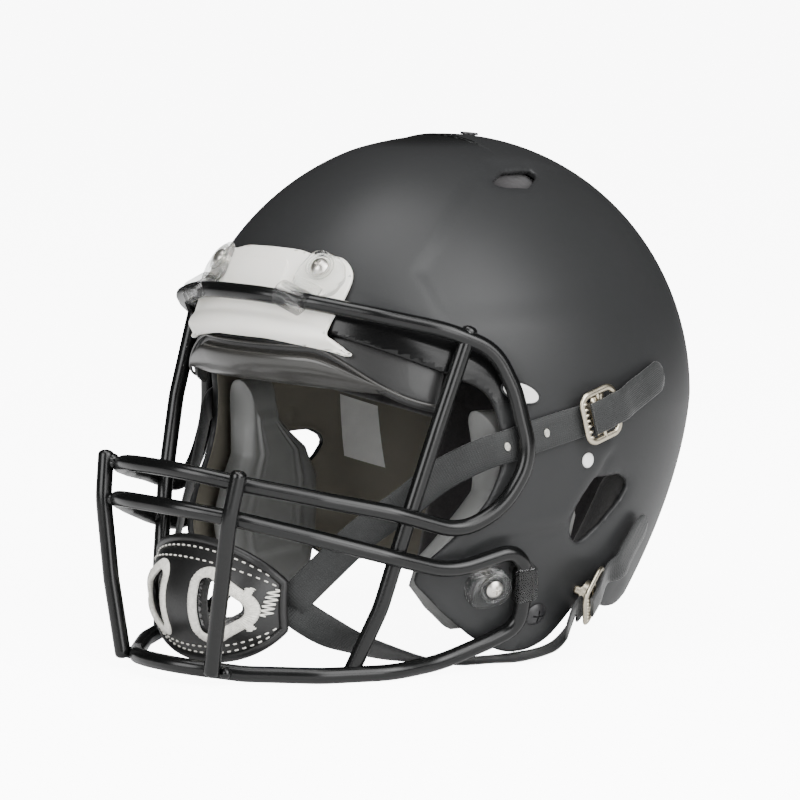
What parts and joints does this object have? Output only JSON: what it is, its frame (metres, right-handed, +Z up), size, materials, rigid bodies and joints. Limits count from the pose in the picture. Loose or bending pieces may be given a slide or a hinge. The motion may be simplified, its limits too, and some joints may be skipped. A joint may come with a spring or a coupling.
{
  "type": "american football helmet",
  "caption": "Hard-shell helmet with padded liner, screwed-on wire face mask, snap-buckled webbing straps and a ventilated chin cup.",
  "frame": {"origin": "centre of the underside of the whole helmet's box, on the surface that it stands on", "axes": "+Z up, -Y to the front where the face looks out, +X to the wearer's left"},
  "size_m": [0.2568, 0.339, 0.2565],
  "materials": {
    "shell_plastic": "satin-gloss moulded shell, charcoal black outside, beige inside",
    "mask_coating": "thick gloss black coating over steel wire",
    "bumper_white": "semi-matte white moulded bumper",
    "clear_plastic": "clear moulded clip",
    "screw_steel": "nickel-plated steel",
    "nylon_black": "black nylon",
    "buckle_nickel": "pale warm nickel plate",
    "webbing": "ribbed black webbing",
    "cup_leather": "black coated chin cup with white stitching",
    "cup_foam": "soft black lining",
    "pad_vinyl": "smooth grey vinyl over foam",
    "brow_vinyl": "glossy dark vinyl over foam",
    "liner_fabric": "brushed charcoal fabric over foam",
    "badge_white": "plain white domed label"
  },
  "bodies": {
    "root": {"back_pad": "liner_fabric", "crown_pads": "liner_fabric", "front_bumper": "bumper_white", "front_nameplate": "bumper_white", "front_pad": "brow_vinyl", "inflation_valves": "nylon_black", "jaw_pad_nuts": "screw_steel", "jaw_pad_screws": "nylon_black", "mask_front_bars": "mask_coating", "mask_lower_loop": "mask_coating", "mask_nuts": "screw_steel", "mask_side_bars": "mask_coating", "mask_upper_loop": "mask_coating", "neck_pad": "liner_fabric", "shell": "shell_plastic", "side_badges": "badge_white", "side_clip_left": "clear_plastic", "side_clip_right": "clear_plastic", "side_clip_screws": "screw_steel", "side_pad_left": "liner_fabric", "side_pad_right": "liner_fabric", "snap_studs": "screw_steel", "strap_lower_left": "webbing", "strap_lower_right": "webbing", "strap_upper_left": "webbing", "strap_upper_right": "webbing", "top_clip_left": "clear_plastic", "top_clip_right": "clear_plastic", "top_clip_screws": "screw_steel"},
    "chin": {"chin_cup": "cup_leather", "chin_cup_pad": "cup_foam"},
    "snap_upper_left": {"snap_socket_upper_left": "buckle_nickel"},
    "buckle_upper_left": {"buckle_upper_left": "buckle_nickel", "strap_tail_upper_left": "webbing"},
    "snap_lower_left": {"snap_socket_lower_left": "buckle_nickel"},
    "buckle_lower_left": {"buckle_lower_left": "buckle_nickel", "strap_tail_lower_left": "webbing"},
    "jaw_pad_left": {"jaw_pad_left": "pad_vinyl"},
    "snap_upper_right": {"snap_socket_upper_right": "buckle_nickel"},
    "buckle_upper_right": {"buckle_upper_right": "buckle_nickel", "strap_tail_upper_right": "webbing"},
    "snap_lower_right": {"snap_socket_lower_right": "buckle_nickel"},
    "buckle_lower_right": {"buckle_lower_right": "buckle_nickel", "strap_tail_lower_right": "webbing"},
    "jaw_pad_right": {"jaw_pad_right": "pad_vinyl"}
  },
  "joints": [
    {"name": "pull_upper_left", "type": "slide", "parent": "root", "child": "snap_upper_left", "axis": [0.9984, -0.0527, 0.0194], "range_m": [0, 0.008]},
    {"name": "swivel_upper_left", "type": "hinge", "parent": "snap_upper_left", "child": "buckle_upper_left", "pos_m": [0.11773, 0.01848, 0.12417], "axis": [0.9984, -0.0527, 0.0194], "range_deg": [-10, 10]},
    {"name": "pull_lower_left", "type": "slide", "parent": "root", "child": "snap_lower_left", "axis": [0.8595, 0.4317, -0.2739], "range_m": [0, 0.008]},
    {"name": "swivel_lower_left", "type": "hinge", "parent": "snap_lower_left", "child": "buckle_lower_left", "pos_m": [0.11016, 0.01987, 0.0343], "axis": [0.8595, 0.4317, -0.2739], "range_deg": [-10, 10]},
    {"name": "jaw_pad_pull_left", "type": "slide", "parent": "root", "child": "jaw_pad_left", "axis": [-1, 0, 0], "range_m": [0, 0.02]},
    {"name": "pull_upper_right", "type": "slide", "parent": "root", "child": "snap_upper_right", "axis": [-0.9984, -0.0527, 0.0194], "range_m": [0, 0.008]},
    {"name": "swivel_upper_right", "type": "hinge", "parent": "snap_upper_right", "child": "buckle_upper_right", "pos_m": [-0.11773, 0.01848, 0.12417], "axis": [-0.9984, -0.0527, 0.0194], "range_deg": [-10, 10]},
    {"name": "pull_lower_right", "type": "slide", "parent": "root", "child": "snap_lower_right", "axis": [-0.8595, 0.4317, -0.2739], "range_m": [0, 0.008]},
    {"name": "swivel_lower_right", "type": "hinge", "parent": "snap_lower_right", "child": "buckle_lower_right", "pos_m": [-0.11016, 0.01987, 0.0343], "axis": [-0.8595, 0.4317, -0.2739], "range_deg": [-10, 10]},
    {"name": "jaw_pad_pull_right", "type": "slide", "parent": "root", "child": "jaw_pad_right", "axis": [1, 0, 0], "range_m": [0, 0.02]},
    {"name": "chin_tilt", "type": "hinge", "parent": "root", "child": "chin", "pos_m": [0, -0.11952, 0.03617], "axis": [1, 0, 0], "range_deg": [-10, 10]}
  ]
}
